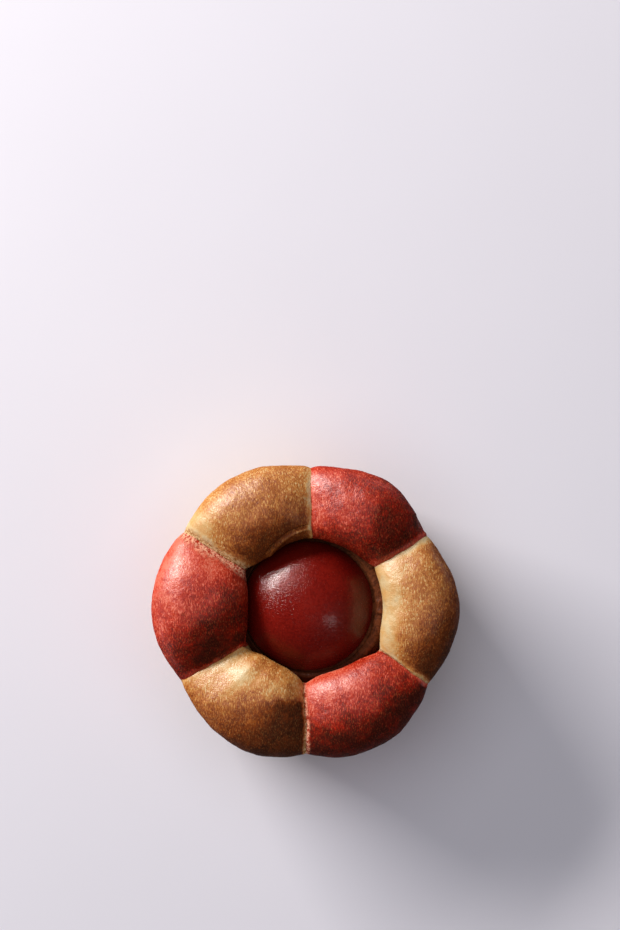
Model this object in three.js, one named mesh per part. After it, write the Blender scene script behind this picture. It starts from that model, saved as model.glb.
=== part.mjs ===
// A filled brioche bun, baked in a plain ring tin 90 mm across and 35 mm high.
//
// A disc of plain dough covers the bottom of the tin. Six balls of dough stand on it in a ring,
// plain and red in turn. They have risen over the rim of the tin, pressed flat against each other,
// and baked to a brown crust. The hollow in the middle is filled with cream, and a dome of set
// fruit jelly is pressed into the cream, a little under the overhang of the balls.
//
// Millimetres and degrees, +Z up. The origin is under the middle of the bun, on the table.
// Angles run anticlockwise from +X, as seen from above.

import * as THREE from 'three';
import { LoftGeometry } from 'three/addons/geometries/LoftGeometry.js';

const GAP = 0.3; // clearance between two pieces that touch
const ROUND_STEPS = 48; // facets round the disc, the cream and the jelly

// ---- Driving dimensions -------------------------------------------------------------------

// The crust shrank a little from the tin in baking, most at the foot.
const TIN = { footRadius: 44.8, rimRadius: 46.5, rimHeight: 34, flare: 1.4 };

const DISC = {
  edgeRounding: 3,
  dimple: { radius: 9, depth: 2.6 }, // steam pushes the middle of the underside up
  floor: { radius: 14.5, height: 14.3 }, // the flat middle, under the cream
  crest: { radius: 28, height: 16.8 }, // the highest ring, under the balls
  wallHeight: 11, // where the balls meet the disc on the wall
  waviness: 0.9, // the balls sink into the disc unevenly
};

const HOLLOW = {
  centre: new THREE.Vector2(3.1, 1.8), // the balls closed in unevenly, so it is off centre
  bowl: { radius: 25.3, toeRadius: 14, toeHeight: 16.2, wallFrom: 29, wallTo: 34 },
  overhang: { equator: 41, roundness: 1.3 }, // the balls' bulge into the hollow, over the bowl
};

const BALL = {
  equator: 39.5, // height where a ball is widest outside, just over the tin's rim
  fullness: 2.25, // exponent of the crown's curve: 2 is an ellipse
  roundness: 2.3, // exponent of the crown's fall from a ball's middle to its seams
  corner: 2.8, // the same for its edge at the hollow
  heart: new THREE.Vector2(33, 22), // radius and height of a point that sees a whole section
  across: 14, // facets from seam to seam
};

// Where two balls meet, as a straight seam in plan: its heading and how far left of the middle it
// passes, the bun's radius and the hollow's radius on it, and the height of the valley between
// the two crowns.
const SEAMS = [
  { heading: -34.3, aside: 3.4, radius: 46.2, hollow: 25.6, top: 44.8 },
  { heading: 29.4, aside: 2.1, radius: 46.8, hollow: 23.2, top: 45.4 },
  { heading: 91.3, aside: -3.0, radius: 47.1, hollow: 22.2, top: 45.2 },
  { heading: 148.6, aside: -1.7, radius: 47.4, hollow: 25.8, top: 44.6 },
  { heading: 207, aside: 1.2, radius: 45.8, hollow: 26.6, top: 43.8 },
  { heading: 271.4, aside: -0.8, radius: 46, hollow: 25.4, top: 44.2 },
];

// The balls, each from the seam of the same number to the next one, with its sizes in the middle:
// the bun's radius there and the exponent of its fall to the seams, the hollow's radius, the
// height, how far the ball bulges over the tin's wall, where its crest lies between hollow and
// wall, and how far it all leans towards the next seam.
const BALLS = [
  {
    name: 'plain_ball_1', dough: 'plain',
    radius: 50.1, outline: 1.5, hollow: 21.9, top: 49.6, bulge: 0.4, crest: 0.5, lean: 0,
  },
  {
    name: 'red_ball_1', dough: 'red',
    radius: 50.3, outline: 1.35, hollow: 21.6, top: 50.6, bulge: 2.2, crest: 0.52, lean: -0.12,
  },
  {
    name: 'plain_ball_2', dough: 'plain',
    radius: 49.9, outline: 1.5, hollow: 22.2, top: 50.4, bulge: 0.8, crest: 0.5, lean: 0.04,
  },
  {
    name: 'red_ball_2', dough: 'red',
    radius: 50.1, outline: 1.9, hollow: 21.8, top: 51.6, bulge: 2.4, crest: 0.53, lean: -0.1,
  },
  {
    name: 'plain_ball_3', dough: 'plain',
    radius: 49.3, outline: 1.6, hollow: 22, top: 49, bulge: 0.3, crest: 0.42, lean: 0.22,
  },
  {
    name: 'red_ball_3', dough: 'red',
    radius: 49.7, outline: 1.9, hollow: 21.7, top: 49.8, bulge: 1.9, crest: 0.48, lean: 0.04,
  },
];

const CREAM = {
  floorHeight: 15.2,
  ridge: { from: 22.2, to: 23.3, height: 36 }, // squeezed up round the jelly
  slope: 0.06, // the ridge is higher on the right, where there is more room for it
};

const JELLY = {
  centre: new THREE.Vector2(0.9, 2.0),
  radius: 21,
  rimHeight: 36.7,
  rimRounding: 1,
  top: 47.4,
  bottom: 33, // the underside bulges a little into the cream
};

const FINISHES = {
  plain: { color: 0xb97a3f, roughness: 0.55, metalness: 0 },
  red: { color: 0xa03326, roughness: 0.55, metalness: 0 },
  disc: { color: 0xe3c48f, roughness: 0.7, metalness: 0 },
  cream: { color: 0xa07b69, roughness: 0.6, metalness: 0 },
  jelly: { color: 0x6d140d, roughness: 0.15, metalness: 0 },
};

// ---- Shared helpers -----------------------------------------------------------------------

const { lerp, smoothstep, degToRad } = THREE.MathUtils;

// Points at even steps from 0 to 1, without the first, through a function of the step.
function along(steps, pointAt) {
  return Array.from({ length: steps }, (_, i) => pointAt((i + 1) / steps));
}

function mesh(name, geometry, finish) {
  const made = new THREE.Mesh(geometry, new THREE.MeshStandardMaterial(FINISHES[finish]));
  made.name = name;
  return made;
}

// A profile of (radius, height) points turned round +Z. It runs from the axis to the axis.
function turned(profile) {
  return new THREE.LatheGeometry(profile, ROUND_STEPS).rotateX(Math.PI / 2);
}

// Moves each vertex by a function of its place that gives a Vector3.
function moved(geometry, moveAt) {
  const position = geometry.getAttribute('position');
  const point = new THREE.Vector3();
  for (let i = 0; i < position.count; i++) {
    point.fromBufferAttribute(position, i);
    point.add(moveAt(point));
    position.setXYZ(i, point.x, point.y, point.z);
  }
  geometry.computeVertexNormals();
  return geometry;
}

// ---- The disc of plain dough --------------------------------------------------------------

function wallRadius(height) {
  return lerp(TIN.footRadius, TIN.rimRadius, (height / TIN.rimHeight) ** TIN.flare);
}

// The disc's top at a distance from the middle: a flat floor, a low crest, and down to the wall.
function seatHeight(radius) {
  const { floor, crest, wallHeight } = DISC;
  if (radius < crest.radius) {
    return lerp(floor.height, crest.height, smoothstep(radius, floor.radius, crest.radius));
  }
  const out = (radius - crest.radius) / (wallRadius(wallHeight) - crest.radius);
  return lerp(crest.height, wallHeight, out ** 2);
}

// The unevenness of the disc's top, none in the middle and the most at the wall.
function seatWave(radius, angle) {
  const waves = 0.6 * Math.sin(3 * angle + 0.7) + 0.4 * Math.sin(5 * angle + 2.1);
  return DISC.waviness * waves * smoothstep(radius, DISC.floor.radius, wallRadius(0));
}

function discOfDough() {
  const { dimple, edgeRounding: edge, floor, wallHeight } = DISC;
  const underRadius = wallRadius(edge) - edge;
  const profile = [
    new THREE.Vector2(0, dimple.depth),
    ...along(4, (t) => {
      return new THREE.Vector2(dimple.radius * t, dimple.depth * Math.cos((t * Math.PI) / 2) ** 2);
    }),
    new THREE.Vector2(underRadius, 0),
    ...along(4, (t) => {
      const turn = (t * Math.PI) / 2;
      return new THREE.Vector2(underRadius + edge * Math.sin(turn), edge * (1 - Math.cos(turn)));
    }),
    ...along(2, (t) => {
      const height = lerp(edge, wallHeight, t);
      return new THREE.Vector2(wallRadius(height), height);
    }),
    ...along(10, (t) => {
      const radius = lerp(wallRadius(wallHeight), floor.radius, t);
      return new THREE.Vector2(radius, seatHeight(radius));
    }),
    new THREE.Vector2(0, floor.height),
  ];
  const waveAt = ({ x, y, z }) => {
    const share = smoothstep(z, edge, wallHeight);
    return new THREE.Vector3(0, 0, share * seatWave(Math.hypot(x, y), Math.atan2(y, x)));
  };
  return mesh('plain_disc', moved(turned(profile), waveAt), 'disc');
}

// ---- The six balls of dough ---------------------------------------------------------------

// The distance from the bun's middle to a circle round the hollow's centre, in the direction that
// a function gives for that distance. The direction changes little, so a few rounds settle it.
function reachOfHollow(radius, angleAt) {
  const { x, y } = HOLLOW.centre;
  let reach = radius;
  for (let round = 0; round < 5; round++) {
    const angle = angleAt(reach);
    const ahead = x * Math.cos(angle) + y * Math.sin(angle);
    const aside = y * Math.cos(angle) - x * Math.sin(angle);
    reach = ahead + Math.sqrt(radius ** 2 - aside ** 2);
  }
  return reach;
}

// The bowl that the cream fills: radius round the hollow's centre and height, from the thin toes
// of the balls at 0 to the start of the bowl's upright wall at 1.
function bowlAt(share) {
  const { radius, toeRadius, toeHeight, wallFrom } = HOLLOW.bowl;
  const turn = (share * Math.PI) / 2;
  const out = lerp(toeRadius, radius, Math.sin(turn));
  return new THREE.Vector2(out, lerp(toeHeight, wallFrom, 1 - Math.cos(turn)));
}

// The angle of a seam at a distance from the middle, on the line a clearance to its left.
function seamAngle(seam, radius, clearance) {
  return degToRad(seam.heading) + Math.asin((seam.aside + clearance) / radius);
}

// The size of a ball's section, from -1 at its first seam over 0 to 1 at the next.
function sizeAcross(ball, first, next, across) {
  const side = across < ball.lean ? first : next;
  const run = across < ball.lean ? 1 + ball.lean : 1 - ball.lean;
  const away = Math.abs(across - ball.lean) / run;
  const fall = away ** BALL.roundness;
  return {
    radius: lerp(ball.radius, side.radius, away ** ball.outline),
    hollow: lerp(ball.hollow, side.hollow, away ** BALL.corner),
    top: lerp(ball.top, side.top, fall),
    bulge: lerp(ball.bulge, 0, fall),
    crest: lerp(ball.crest, 0.5, fall),
  };
}

// One closed section of a ball: out along the disc, up the wall, over the crown, and down the
// side of the hollow. Points hold the distance from the bun's middle and the height.
function sectionOfBall(size, angleAt) {
  const { equator, fullness } = BALL;
  const { overhang } = HOLLOW;
  const { toeRadius, radius: bowl, wallTo } = HOLLOW.bowl;
  const reach = (radius) => reachOfHollow(radius, angleAt);
  const onSeat = (radius) => {
    const height = seatHeight(radius) + seatWave(radius, angleAt(radius)) + 1.3 * GAP;
    return new THREE.Vector2(radius, height);
  };
  const onWall = (height) => {
    const bulge = size.bulge * (height / TIN.rimHeight) ** 2;
    return new THREE.Vector2(wallRadius(height) + bulge, height);
  };
  const toe = reach(toeRadius);
  const foot = onSeat(wallRadius(DISC.wallHeight));
  const lip = onWall(TIN.rimHeight);
  const inside = reach(size.hollow);
  const crest = lerp(inside, size.radius, size.crest);
  const crown = (turn) => {
    const side = turn < 0.5 ? size.radius - crest : crest - inside;
    const out = Math.abs(Math.cos(turn * Math.PI)) ** (2 / fullness) * (turn < 0.5 ? side : -side);
    const up = Math.max(0, Math.sin(turn * Math.PI)) ** (2 / fullness);
    const widest = lerp(equator, overhang.equator, turn);
    return new THREE.Vector2(crest + out, lerp(widest, size.top, up));
  };
  return [
    onSeat(toe),
    ...along(6, (t) => onSeat(lerp(toe, foot.x, t))),
    ...along(4, (t) => onWall(lerp(foot.y, TIN.rimHeight, t))),
    ...along(4, (t) => {
      const out = lerp(lip.x, size.radius, smoothstep(t, 0, 1));
      return new THREE.Vector2(out, lerp(TIN.rimHeight, equator, t));
    }),
    ...along(12, crown),
    ...along(4, (t) => {
      const out = lerp(inside, reach(bowl), t ** overhang.roundness);
      return new THREE.Vector2(out, lerp(overhang.equator, wallTo, t));
    }),
    new THREE.Vector2(reach(bowl), HOLLOW.bowl.wallFrom),
    ...along(5, (t) => bowlAt(1 - t)).map((point) => new THREE.Vector2(reach(point.x), point.y)),
  ];
}

function ballOfDough(ball, index) {
  const nextIndex = (index + 1) % SEAMS.length;
  const [first, next] = [SEAMS[index], SEAMS[nextIndex]];
  const fullTurn = nextIndex === 0 ? 2 * Math.PI : 0;
  const sections = [];
  for (let i = 0; i <= BALL.across; i++) {
    const across = 1 - (2 * i) / BALL.across; // from the far seam back, so that the faces point out
    const angleAt = (radius) => {
      const from = seamAngle(first, radius, GAP / 2);
      const to = seamAngle(next, radius, -GAP / 2) + fullTurn;
      return lerp(from, to, (across + 1) / 2);
    };
    const placed = ({ x: radius, y: height }) => {
      const angle = angleAt(radius);
      return new THREE.Vector3(radius * Math.cos(angle), radius * Math.sin(angle), height);
    };
    const section = sectionOfBall(sizeAcross(ball, first, next, across), angleAt).map(placed);
    const closing = section.map(() => placed(BALL.heart)); // closes an end as a fan round one point
    if (i === 0) sections.push(closing);
    sections.push(section);
    if (i === BALL.across) sections.push(closing);
  }
  return mesh(ball.name, new LoftGeometry(sections), ball.dough);
}

// ---- The jelly dome -----------------------------------------------------------------------

// The jelly's underside, from its middle at 0 to the start of its rim's rounding at 1.
function underJelly(share) {
  const { radius, rimHeight, rimRounding, bottom } = JELLY;
  const height = lerp(bottom, rimHeight - rimRounding, share ** 2);
  return new THREE.Vector2((radius - rimRounding) * share, height);
}

function jellyDome() {
  const { centre, radius, rimHeight, top } = JELLY;
  const rise = top - rimHeight;
  const sphere = (radius ** 2 + rise ** 2) / (2 * rise);
  const rimTurn = Math.asin(radius / sphere);
  const profile = [
    new THREE.Vector2(0, JELLY.bottom),
    ...along(4, underJelly),
    new THREE.Vector2(radius, rimHeight),
    ...along(11, (t) => {
      const turn = rimTurn * (1 - t);
      return new THREE.Vector2(sphere * Math.sin(turn), top - sphere * (1 - Math.cos(turn)));
    }),
  ];
  const jelly = mesh('jelly_dome', turned(profile), 'jelly');
  jelly.position.set(centre.x, centre.y, 0);
  return jelly;
}

// ---- The cream ----------------------------------------------------------------------------

function creamFilling() {
  const { toeRadius, toeHeight, radius: bowl, wallFrom, wallTo } = HOLLOW.bowl;
  const { floorHeight, ridge, slope } = CREAM;
  const wall = bowl - GAP;
  const dish = JELLY.radius + GAP;
  const clear = new THREE.Vector2(-GAP, GAP);
  const profile = [
    new THREE.Vector2(0, floorHeight),
    new THREE.Vector2(toeRadius - GAP, floorHeight),
    new THREE.Vector2(toeRadius - GAP, toeHeight + GAP),
    ...along(5, (t) => bowlAt(t).add(clear)),
    new THREE.Vector2(wall, wallTo),
    new THREE.Vector2(ridge.to, ridge.height),
    new THREE.Vector2(ridge.from, ridge.height),
    new THREE.Vector2(dish, JELLY.rimHeight - JELLY.rimRounding),
    ...along(5, (t) => underJelly(1 - t)).map((point) => point.setY(point.y - GAP)),
  ];
  // The dish is round the jelly's centre, the bowl round the hollow's, and the ridge in between.
  const shift = JELLY.centre.clone().sub(HOLLOW.centre);
  const settle = ({ x, y, z }) => {
    const inside = z > wallFrom + 1 ? smoothstep(wall - Math.hypot(x, y), 0, wall - dish) : 0;
    const rise = z > ridge.height - 0.1 ? slope * x : 0;
    return new THREE.Vector3(shift.x * inside, shift.y * inside, rise);
  };
  const cream = mesh('cream_filling', moved(turned(profile), settle), 'cream');
  cream.position.set(HOLLOW.centre.x, HOLLOW.centre.y, 0);
  return cream;
}

// ---- The bun ------------------------------------------------------------------------------

const bun = new THREE.Group();
bun.add(discOfDough(), ...BALLS.map(ballOfDough), creamFilling(), jellyDome());

// The balls are uneven, so the bun is set with the middle of its width and depth over the origin.
const middle = new THREE.Box3().setFromObject(bun).getCenter(new THREE.Vector3());
bun.position.set(-middle.x, -middle.y, 0);

export default bun;
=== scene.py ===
# A filled brioche bun, baked in a plain ring tin about 90 mm across.
#
# Sizes are in millimetres and meshes are made in metres. Angles run anticlockwise from +X, as
# seen from above. Each piece stands for one solid of the frame and keeps its form.
import math
import bpy
import numpy as np
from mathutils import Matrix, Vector, noise


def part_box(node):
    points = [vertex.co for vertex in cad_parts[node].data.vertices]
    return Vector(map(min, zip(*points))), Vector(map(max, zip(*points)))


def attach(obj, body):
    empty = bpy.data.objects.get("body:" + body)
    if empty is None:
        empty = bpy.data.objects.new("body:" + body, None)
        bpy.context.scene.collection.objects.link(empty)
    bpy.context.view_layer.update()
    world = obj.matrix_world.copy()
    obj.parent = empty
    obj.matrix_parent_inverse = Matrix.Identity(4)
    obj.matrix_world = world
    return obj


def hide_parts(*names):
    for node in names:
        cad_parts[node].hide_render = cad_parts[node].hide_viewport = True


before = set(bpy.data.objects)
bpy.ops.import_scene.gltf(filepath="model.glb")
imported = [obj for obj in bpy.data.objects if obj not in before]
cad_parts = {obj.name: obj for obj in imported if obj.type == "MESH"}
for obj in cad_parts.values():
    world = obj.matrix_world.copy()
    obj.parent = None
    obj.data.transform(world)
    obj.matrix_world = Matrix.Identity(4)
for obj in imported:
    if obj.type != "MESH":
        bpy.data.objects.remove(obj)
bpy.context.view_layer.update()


# ---- The disc of plain dough ----------------------------------------------------------------
# The bottom of the bun: a disc of plain dough laid in the tin before the balls. It baked against
# the tin, so it is brown and flat underneath, rounded at the edge and pale up the side. Steam
# pushed a shallow dimple into the middle of its underside.

MM = 0.001  # metres in a millimetre
TIN = {"foot_radius": 44.8, "rim_radius": 46.5, "rim_height": 34, "flare": 1.4}
DISC = {
    "edge": 3, "dimple_radius": 9, "dimple_depth": 2.6, "floor_radius": 14.5, "floor_height": 14.3,
    "crest_radius": 28, "crest_height": 16.8, "wall_height": 11, "waviness": 0.9,
}
DISC_TURNS = 400  # points round the disc
DISC_POINTS = {"dimple": 15, "flat": 40, "edge": 13, "wall": 22, "top": 12}
SEAT_WAVES = [(0.6, 3, 0.7), (0.4, 5, 2.1)]  # share, waves round the bun, and turn in radians
SEAT_RIPPLE = {"high": 0.7, "size": 7, "from": 38}  # finer waves, near the wall only

# What the tin left in a side that baked against it: how deep and how wide the dents and the pits
# of trapped steam are, and how far the pits' noise rises before there is a pit.
TIN_MARKS = {"dent": 0.18, "dent_size": 9, "pit": 0.66, "pit_size": 1.6, "pit_from": 0.25}

# How brown the disc is, from 0 to 1, and at the middle of its underside and top, how rough its
# side is with torn crumb, and where its side, underside and dimple begin and end, upwards or
# outwards.
DISC_BAKE = {
    "side": 0.06, "under": 0.66, "patches": 0.16, "patch_size": 7, "dimple": -0.3,
    "poles": (0.4, 0.1),
}
SIDE_CRUMB = {"most": 0.5, "size": 2.2, "from": 0.25, "full": 0.6}
SIDE_UP, SIDE_OUT, UNDER_UP, DIMPLE_OUT = (0.2, 2.5), (42, 44), (0.4, 3.6), (6, 10)

# Plain dough. Its colours run from unbaked to the darkest crust, and a torn place shows crumb
# with pits in it. Clouds, grains and flecks say how strong these marks are, and palest how brown
# the crust is where they begin.
PLAIN_DOUGH = {
    "bakes": [
        (0.0, (0.60, 0.44, 0.23)),
        (0.1, (0.575, 0.34, 0.130)),
        (0.25, (0.50, 0.212, 0.049)),
        (0.4, (0.405, 0.134, 0.025)),
        (0.6, (0.262, 0.062, 0.009)),
        (0.8, (0.14, 0.028, 0.006)),
        (1.0, (0.050, 0.012, 0.004)),
    ],
    "crumb": (0.72, 0.50, 0.26), "pit": (0.34, 0.13, 0.030), "fleck": (0.56, 0.27, 0.085),
    "clouds": 0.2, "grains": 0.42, "flecks": 0.6, "palest": 0.05,
}

# Marks in a crust: the size in millimetres, detail, roughness and distortion of their noise, and
# between which of its values they come in. The last three are drawn out into strokes along Y.
CRUST_MARKS = {
    "cloud": (5.5, 3, 0.55, 0, 0.2, 0.8),
    "freckle": (1.4, 2, 0.6, 0.6, 0.25, 0.75),
    "grain": (0.6, 2, 0.6, 0.4, 0.45, 0.75),
    "toasted": (0.5, 2, 0.6, 0.5, 0.5, 0.75),
    "fleck": (0.42, 1, 0.5, 0.6, 0.54, 0.76),
}
STROKES = (1.7, 0.5, 1)
GRAIN_COVER, TOASTED_COVER = 0.22, 0.25  # how much of the crust they cover on average
FRECKLES, PALE_FRECKLES, PALE_GRAINS, TOASTED = 0.10, 0.05, 0.04, 0.3  # how strong they are

# How brown the crust is where the marks are at their liveliest and where they fade, where it
# counts as tan, where flecks come in and where the egg stops shining.
LIVELY_FROM, LIVELY_FADES, LIVELY_LOSS = 0.4, (0.5, 0.95), 0.65
TAN_ABOVE_PALEST, TAN_FROM, TAN_FADES = 0.05, 0.3, (0.45, 0.7)
FLECKS_FROM, SHINE_FADES = (0.3, 0.6), (0.5, 0.8)

# Size, detail, roughness and distortion of the crumb's sponge, of wrinkles and of pores, how
# high each stands, and how rough and shiny a crust is when it is bare and under egg.
SPONGE, SPONGE_HOLES = (0.8, 3, 0.7, 0.5), (0.4, 0.6)
WRINKLES, PORES = (1.2, 2, 0.6, 0.8), (0.42, 1, 0.5)
RELIEF = {"deep": 0.14, "wrinkles": 0.6, "pores": 0.8, "sponge": 3.0}
BARE = {"roughness": 0.7, "freckles": 0.2, "shine": 0.08}
EGG_WASHED = {"roughness": 0.43, "freckles": 0.16, "shine": 0.85}
SEED_STEP = 17.3  # how far the noise of one seed lies from the next one's
CREASE = 55  # faces that meet at more degrees than this have a sharp edge between them

low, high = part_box("plain_disc")
BUN_MIDDLE = np.array([(low.x + high.x) / 2 / MM, (low.y + high.y) / 2 / MM, 0])


class Field:
    """What comes out of a shader socket. Arithmetic on it adds Math nodes."""

    def __init__(self, finish, socket):
        self.finish, self.socket = finish, socket

    def math(self, operation, *others):
        values = dict(enumerate((self, *others)))
        return self.finish.node("Math", {"operation": operation}, values)

    def __add__(self, other):
        return self.math("ADD", other)

    def __sub__(self, other):
        return self.math("SUBTRACT", other)

    def __rsub__(self, other):
        return self.finish.node("Math", {"operation": "SUBTRACT"}, {0: other, 1: self})

    def __mul__(self, other):
        return self.math("MULTIPLY", other)

    __radd__, __rmul__ = __add__, __mul__

    def between(self, start, end):
        """0 where the value is at start or before it, 1 at end or past it, and smooth between."""
        limits = {"Value": self, "From Min": start, "From Max": end}
        return self.finish.node("MapRange", {"interpolation_type": "SMOOTHSTEP"}, limits)


class Finish:
    """A procedural material, built node by node."""

    def __init__(self, name):
        self.material = bpy.data.materials.new(name)
        self.material.use_nodes = True
        self.tree = self.material.node_tree
        self.tree.nodes.clear()

    def node(self, kind, settings, sockets, out=0):
        """Adds a node, sets it up, fills its sockets with values or links, and gives an output."""
        made = self.tree.nodes.new("ShaderNode" + kind)
        for key, value in settings.items():
            if key == "stops":
                made.color_ramp.elements.remove(made.color_ramp.elements[1])
                for number, (place, colour) in enumerate(value):
                    stops = made.color_ramp.elements
                    stop = stops.new(place) if number else stops[0]
                    stop.position, stop.color = place, (*colour, 1)
            else:
                setattr(made, key, value)
        for key, value in sockets.items():
            if isinstance(value, Field):
                self.tree.links.new(value.socket, made.inputs[key])
            elif isinstance(value, tuple) and len(value) == 3 and made.inputs[key].type == "RGBA":
                made.inputs[key].default_value = (*value, 1)
            else:
                made.inputs[key].default_value = value
        return None if out is None else Field(self, made.outputs[out])

    def mask(self, name):
        return self.node("Attribute", {"attribute_name": name}, {}, "Fac")

    def place(self):
        """The point on the surface, in millimetres."""
        metres = self.node("TexCoord", {}, {}, "Object")
        return self.node("VectorMath", {"operation": "SCALE"}, {0: metres, "Scale": 1 / MM})

    def noise(self, place, size, detail=2.0, roughness=0.5, distortion=0.0):
        """Cloudy bumps of about this size in millimetres, from 0 to 1 round 0.5."""
        sockets = {
            "Vector": place, "Scale": 1 / size, "Detail": detail, "Roughness": roughness,
            "Distortion": distortion,
        }
        return self.node("TexNoise", {}, sockets)

    def mix(self, first, second, share):
        """A colour between two colours."""
        return self.node("Mix", {"data_type": "RGBA"}, {0: share, 6: first, 7: second}, 2)

    def coat(self, **sockets):
        """A Principled shader with these sockets."""
        named = {key.replace("_", " "): value for key, value in sockets.items()}
        return self.node("BsdfPrincipled", {}, named)

    def done(self, shader):
        """Ends the material in this shader."""
        self.node("OutputMaterial", {}, {"Surface": shader}, None)
        return self.material


def crust(name, bakes, crumb, pit, fleck, clouds, grains, flecks, palest):
    """Baked dough, with masks for how far it is baked, with some painted highlight in it, where it is
    torn and where it has egg.
    """
    finish = Finish(name)
    place = finish.place()
    strokes = finish.node("VectorMath", {"operation": "MULTIPLY"}, {0: place, 1: STROKES})

    def marks(kind, where):
        size, detail, roughness, distortion, start, end = CRUST_MARKS[kind]
        return finish.noise(where, size, detail, roughness, distortion).between(start, end)

    # Marks are lively on brown crust, and toasted grains show on tan crust.
    baked, torn = finish.mask("baked"), finish.mask("torn")
    lively = baked.between(palest, LIVELY_FROM) * (1 - baked.between(*LIVELY_FADES) * LIVELY_LOSS)
    tan = baked.between(palest + TAN_ABOVE_PALEST, TAN_FROM) * (1 - baked.between(*TAN_FADES))
    cloud, freckle = marks("cloud", place) - 0.5, marks("freckle", place) - 0.5
    grain = marks("grain", strokes) - GRAIN_COVER
    toasted = marks("toasted", strokes) - TOASTED_COVER
    depth = baked + cloud * clouds + freckle * (lively * FRECKLES + PALE_FRECKLES)
    depth = depth - grain * (lively * grains + PALE_GRAINS) + toasted * tan * TOASTED
    colour = finish.node("ValToRGB", {"stops": bakes}, {0: depth})
    flecked = marks("fleck", strokes) * lively * baked.between(*FLECKS_FROM)
    colour = finish.mix(colour, fleck, flecked * flecks)
    sponge = finish.noise(place, *SPONGE)
    crumbs = finish.mix(pit, crumb, sponge.between(*SPONGE_HOLES))
    colour = finish.mix(colour, crumbs, torn)

    wrinkles, pores = finish.noise(place, *WRINKLES), finish.noise(place, *PORES)
    height = wrinkles * RELIEF["wrinkles"] + pores * RELIEF["pores"] + sponge * torn * RELIEF["sponge"]
    relief = {"Strength": 1.0, "Distance": RELIEF["deep"] * MM, "Height": height}
    bump = finish.node("Bump", {}, relief)
    bare, washed = (
        finish.coat(
            Base_Color=colour, Roughness=look["roughness"] + freckle * look["freckles"],
            Specular_IOR_Level=look["shine"], Normal=bump,
        )
        for look in (BARE, EGG_WASHED)
    )
    egg = finish.mask("egg") * (1 - torn) * (1 - baked.between(*SHINE_FADES))
    return finish.done(finish.node("MixShader", {}, {0: egg, 1: bare, 2: washed}))


def lerp(start, end, share):
    return start + (end - start) * share


def smooth(value, start, end):
    """0 up to start, 1 from end on, and a smooth rise between."""
    share = np.clip((value - start) / (end - start), 0, 1)
    return share * share * (3 - 2 * share)


def roughly(points, size, octaves=1, seed=0):
    """Random bumps of about this size in millimetres, from -1 to 1, at each point."""
    flat = points.reshape(-1, 3) / size + seed * SEED_STEP
    bumps = [noise.fractal(Vector(point), 1.0, 2.0, octaves) for point in flat]
    return np.array(bumps).reshape(points.shape[:-1])


def wall_radius(height):
    """The tin's radius at this height, with its slight flare."""
    share = np.maximum(height, 0) / TIN["rim_height"]
    return lerp(TIN["foot_radius"], TIN["rim_radius"], share ** TIN["flare"])


def tin_marks(points):
    """How far a side that baked against the tin stands out of its plain form."""
    dents = TIN_MARKS["dent"] * roughly(points, TIN_MARKS["dent_size"])
    pits = np.maximum(roughly(points, TIN_MARKS["pit_size"], 2) - TIN_MARKS["pit_from"], 0)
    return dents - TIN_MARKS["pit"] * pits


def seat_height(radius):
    """The disc's top: a flat floor, a low crest, and down to the wall."""
    rise = smooth(radius, DISC["floor_radius"], DISC["crest_radius"])
    inner = lerp(DISC["floor_height"], DISC["crest_height"], rise)
    run = wall_radius(DISC["wall_height"]) - DISC["crest_radius"]
    out = (radius - DISC["crest_radius"]) / run
    outer = lerp(DISC["crest_height"], DISC["wall_height"], out ** 2)
    return np.where(radius < DISC["crest_radius"], inner, outer)


def seat_wave(radius, angle):
    """How far the line between the disc and the balls waves up and down."""
    waves = sum(share * np.sin(number * angle + turn) for share, number, turn in SEAT_WAVES)
    waves = DISC["waviness"] * waves * smooth(radius, DISC["floor_radius"], TIN["foot_radius"])
    on_wall = round_the_middle(TIN["foot_radius"], angle, 0)
    ripple = SEAT_RIPPLE["high"] * roughly(on_wall, SEAT_RIPPLE["size"], 2, seed=31)
    return waves + ripple * smooth(radius, SEAT_RIPPLE["from"], TIN["foot_radius"])


def round_the_middle(radius, angle, height, middle=BUN_MIDDLE):
    flat = [radius * np.cos(angle), radius * np.sin(angle), height + 0 * radius * angle]
    return np.stack(flat, -1) + middle


def woven(rows, columns, rows_close=False, columns_close=False):
    """Four-sided faces between the points of a grid."""
    row = np.arange(rows if rows_close else rows - 1)[:, None]
    column = np.arange(columns if columns_close else columns - 1)[None, :]
    next_row, next_column = (row + 1) % rows, (column + 1) % columns
    corners = [(row, column), (next_row, column), (next_row, next_column), (row, next_column)]
    return np.stack([r * columns + c for r, c in corners], -1).reshape(-1, 4).tolist()


def piece(name, points, faces, material, crease=CREASE, **masks):
    """A mesh from points in millimetres, with a value at each point for each mask."""
    mesh = bpy.data.meshes.new(name)
    mesh.from_pydata((points * MM).tolist(), [], faces)
    mesh.shade_smooth()
    mesh.set_sharp_from_angle(angle=math.radians(crease))
    for mask, values in masks.items():
        made = mesh.attributes.new(mask, "FLOAT", "POINT")
        made.data.foreach_set("value", np.asarray(values, np.float32).ravel())
    mesh.materials.append(material)
    made = bpy.data.objects.new(name, mesh)
    bpy.context.scene.collection.objects.link(made)
    return made


def turned(radii, heights, turns, middle):
    """Points and faces of a profile turned round, from the axis below to the axis on top."""
    angle = np.linspace(0, 2 * np.pi, turns, endpoint=False)[:, None]
    ring = round_the_middle(radii[None, 1:-1], angle, heights[None, 1:-1], middle)
    count = len(radii) - 2
    poles = [middle + (0, 0, heights[0]), middle + (0, 0, heights[-1])]
    faces = woven(turns, count, rows_close=True)
    below, above = turns * count, turns * count + 1
    for turn in range(turns):
        after = (turn + 1) % turns
        faces.append([below, after * count, turn * count])
        faces.append([above, turn * count + count - 1, after * count + count - 1])
    return ring, poles, faces


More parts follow.
